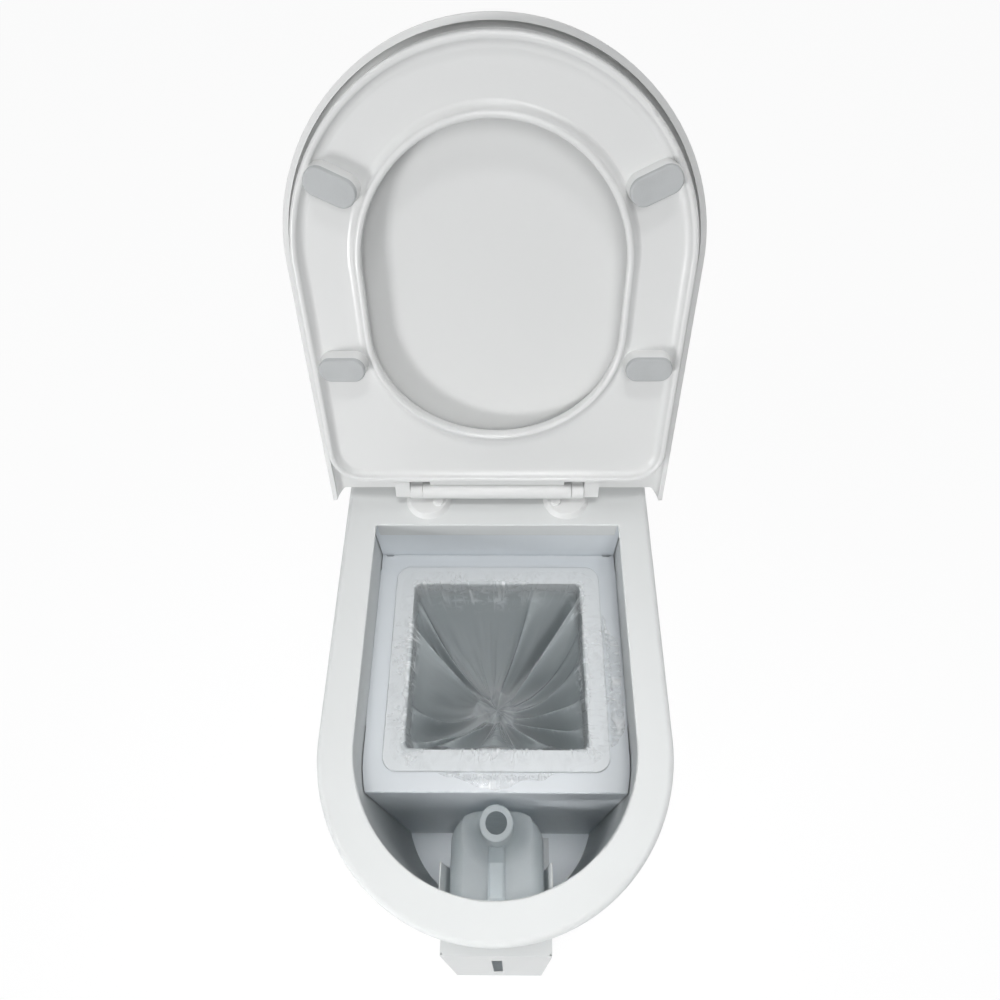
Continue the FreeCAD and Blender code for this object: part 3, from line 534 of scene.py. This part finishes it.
def collar_values(share, row):
    """How milky the film is over the flange, and how white, partly as painted highlight."""
    out = 1.0 - row / collar_rows
    reach = collar_reach(share) * out
    spill = eased((reach - flange_band) / spill_way)
    haze = collar_haze + collar_mouth_haze * (1.0 - out) + spill_haze * spill
    white = 0.0
    for place, half, _, strength in crinkles:
        near = strength * bell(apart(share, place), half)
        white = max(white, near * (collar_edge_white + (1.0 - collar_edge_white) * (1.0 - out)))
        haze = max(haze, crinkle_haze * near * (1.0 - eased(reach / crinkle_collar_way)))
    return haze, max(white, spill_white * spill)


def hanging_values(share, depth):
    """How milky the film is inside the bucket, the milkier film being painted darker as shade, and how white,
    partly as painted highlight.
    """
    haze = mouth_haze + (wall_haze + fold_haze * fold_at(share, depth)) * eased(depth / wall_haze_way)
    haze -= gather_clearing * depth ** 2
    white = 0.0
    for place, half, reach, strength in crinkles:
        near = strength * bell(apart(share, place), half)
        white = max(white, near * (1.0 - eased((depth - reach / 2) / reach)))
        haze = max(haze, crinkle_haze * near * (1.0 - eased(depth / crinkle_wall_way)))
    for place, _, _, height, run in folds:
        near = bell(apart(share, place + run * depth), fold_line)
        white = max(white, fold_highlight * height * near * eased(depth / fold_line_way))
    bunched = eased((depth - gather_white_start) / (1.0 - gather_white_start))
    return haze, max(white, (gather_white + wave_sum(share, gather_white_waves)) * bunched)


def film_values(share, row):
    """How milky the film is in a row, and how white, partly as painted highlight."""
    if row < collar_rows:
        return collar_values(share, row)
    return hanging_values(share, min(1.0, (row - collar_rows) / wall_rows))


def make_bag():
    """The film as one sheet, with its haze, which also sets a painted shade, and the whiteness of its
    creases, partly painted highlight, stored at its points.
    """
    rows, middle = bag_rows()
    points = [point for row in rows for point in row]
    points.append(middle)
    faces = []
    for row in range(len(rows) - 1):
        for column in range(columns):
            after = (column + 1) % columns
            faces.append((row * columns + column, row * columns + after,
                          (row + 1) * columns + after, (row + 1) * columns + column))
    start = (len(rows) - 1) * columns
    for column in range(columns):
        faces.append((start + column, start + (column + 1) % columns, len(points) - 1))
    mesh = bpy.data.meshes.new("bag_film")
    mesh.from_pydata([tuple(point) for point in points], [], faces)
    mesh.shade_smooth()
    haze = mesh.attributes.new("haze", "FLOAT", "POINT")
    crinkle_highlight = mesh.attributes.new("crinkle_highlight", "FLOAT", "POINT")
    for row in range(len(rows)):
        for column in range(columns):
            milky_and_shaded, white = film_values(column / columns, row)
            haze.data[row * columns + column].value = milky_and_shaded
            crinkle_highlight.data[row * columns + column].value = white
    haze.data[len(points) - 1].value = middle_haze
    crinkle_highlight.data[len(points) - 1].value = middle_white
    layer = mesh.uv_layers.new(name="film")
    for polygon in mesh.polygons:
        first = polygon.vertices[0] % columns
        for loop, vertex in zip(polygon.loop_indices, polygon.vertices):
            row, column = divmod(vertex, columns)
            if column == 0 and first == columns - 1:
                column = columns
            layer.data[loop].uv = (column / columns, row / len(rows))
    bag = bpy.data.objects.new("liner_bag_film", mesh)
    bpy.context.collection.objects.link(bag)
    return bag


def film_material():
    """Clear film: nearly see-through over the flange, milky and painted darker as shade where it hangs,
    whiter along its creases, partly as painted highlight.
    """
    s = Shader("bag_film")
    haze = s.attribute("haze")
    patch = s.spread(s.noise(scale=26.0, detail=2.0), low=0.0, high=1.0, start=0.34, end=0.50)
    smear = s.spread(s.noise(scale=75.0, detail=2.0, distortion=0.5), low=0.0, high=0.8, start=0.48, end=0.74)
    roughness = s.spread(s.noise(scale=90.0, detail=3.0), low=0.15, high=0.25)
    wavy = s.bump(s.noise(scale=22.0, detail=2.0, roughness=0.4), strength=0.08, distance=0.002)
    s.place = s.texture_places["UV"]
    radial = s.noise(scale=1.0, detail=2.5, stretch=(120.0, 6.0, 1.0), distortion=0.9)
    streak = s.spread(radial, low=0.0, high=1.0, start=0.52, end=0.70)
    # Painted highlight: white streaks and smears where the film is crinkled stand in for glints on its
    # creases, besides the creased film's own whitening
    marks = s.math("MULTIPLY", s.math("MAXIMUM", streak, smear), patch)
    white = s.math("MULTIPLY", marks, s.attribute("crinkle_highlight"))
    s.link(s.math("ADD", white, haze, clamp=True), "Alpha")
    mix = s.tree.nodes.new("ShaderNodeMix")
    mix.data_type = "RGBA"
    s.tree.links.new(white, mix.inputs["Factor"])
    # Painted shade: the milkier film, which hangs in the bucket, gets a darker colour
    milky_and_shaded = s.colours(haze, [(0.2, (0.82, 0.84, 0.85)), (0.6, (0.70, 0.75, 0.765))])
    s.tree.links.new(milky_and_shaded, mix.inputs["A"])
    mix.inputs["B"].default_value = (0.93, 0.94, 0.95, 1.0)
    s.link(mix.outputs["Result"], "Base Color")
    s.link(roughness, "Roughness")
    s.link(wavy, "Normal")
    s.set(IOR=1.5)
    return s.material


bag = make_bag()
bag.data.materials.append(film_material())
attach(bag, "bucket")
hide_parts("liner_bag")


# Studio: a white floor that keeps a faint shadow, soft lamps and the camera

floor_half = 6.0
floor_drop = 0.0005
backdrop_share = 0.88
backdrop_light = 1.05


def floor_material():
    """A pale floor that is mostly plain white to the camera and in reflections."""
    s = Shader("studio_floor")
    cloud = s.noise(scale=2.0, detail=2.0)
    s.link(s.colours(cloud, [(0.3, (0.79, 0.79, 0.80)), (0.7, (0.82, 0.82, 0.825))]), "Base Color")
    s.set(Roughness=0.9)
    tree = s.tree
    path = tree.nodes.new("ShaderNodeLightPath")
    seen = s.math("MAXIMUM", path.outputs["Is Camera Ray"], path.outputs["Is Glossy Ray"])
    seen = s.math("MAXIMUM", seen, path.outputs["Is Transmission Ray"])
    white = tree.nodes.new("ShaderNodeEmission")
    white.inputs["Strength"].default_value = backdrop_light
    mix = tree.nodes.new("ShaderNodeMixShader")
    tree.links.new(s.math("MULTIPLY", seen, backdrop_share), mix.inputs["Fac"])
    tree.links.new(s.bsdf.outputs["BSDF"], mix.inputs[1])
    tree.links.new(white.outputs["Emission"], mix.inputs[2])
    tree.links.new(mix.outputs["Shader"], tree.nodes["Material Output"].inputs["Surface"])
    return s.material


floor_corners = [(-1, -1), (1, -1), (1, 1), (-1, 1)]
floor_mesh = bpy.data.meshes.new("studio_floor")
floor_mesh.from_pydata([(x * floor_half, y * floor_half, 0) for x, y in floor_corners], [], [(0, 1, 2, 3)])
studio_floor = bpy.data.objects.new("studio_floor", floor_mesh)
studio_floor.location.z = -floor_drop
bpy.context.collection.objects.link(studio_floor)
floor_mesh.materials.append(floor_material())


def soft_box(name, place, target, size, watts, spread=180.0):
    """An area lamp aimed at a target; a spread under 180 degrees narrows its beam."""
    lamp = bpy.data.lights.new(name, "AREA")
    lamp.shape = "RECTANGLE"
    lamp.size, lamp.size_y = size
    lamp.energy = watts
    lamp.spread = math.radians(spread)
    box = bpy.data.objects.new(name, lamp)
    box.location = place
    box.rotation_euler = (Vector(target) - Vector(place)).to_track_quat("-Z", "Y").to_euler()
    bpy.context.collection.objects.link(box)


soft_box("overhead", place=(0.0, -0.08, 2.6), target=(0.0, -0.12, 0.4), size=(0.5, 0.42), watts=1.0,
         spread=40.0)
soft_box("behind", place=(0.4, 0.9, 2.6), target=(0.0, 0.05, 0.5), size=(0.8, 0.6), watts=5)
soft_box("low_left", place=(-1.9, -2.1, 0.76), target=(0.0, 0.30, 0.7), size=(0.7, 0.7), watts=33)
soft_box("front", place=(0.3, -1.25, 2.4), target=(0.0, 0.2, 0.45), size=(0.9, 0.9), watts=14)

scene = bpy.context.scene
world = bpy.data.worlds.new("studio")
world.use_nodes = True
sky = world.node_tree.nodes["Background"]
sky.inputs["Color"].default_value = (0.97, 0.985, 1.0, 1.0)
sky.inputs["Strength"].default_value = 0.30
scene.world = world

# The camera fitted to the photo: focal length in pixels of a square picture; yaw, pitch and roll in degrees
focal_pixels = 713.0
picture_pixels = 1000.0
sensor = 36.0
camera_place = (0.0132, -0.1452, 1.2014)
camera_angles = (1.42, 59.82, -1.19)

camera = bpy.data.objects.new("camera", bpy.data.cameras.new("camera"))
camera.data.sensor_width = sensor
camera.data.lens = focal_pixels / picture_pixels * sensor
camera.data.clip_start = 0.01
camera.data.clip_end = 50.0
level = Matrix(((1, 0, 0), (0, 0, -1), (0, 1, 0)))
yaw, pitch, roll = (math.radians(angle) for angle in camera_angles)
turn = Matrix.Rotation(yaw, 3, "Z") @ Matrix.Rotation(-pitch, 3, "X") @ level @ Matrix.Rotation(roll, 3, "Z")
camera.matrix_world = Matrix.Translation(camera_place) @ turn.to_4x4()
bpy.context.collection.objects.link(camera)
scene.camera = camera
scene.view_settings.view_transform = "Standard"
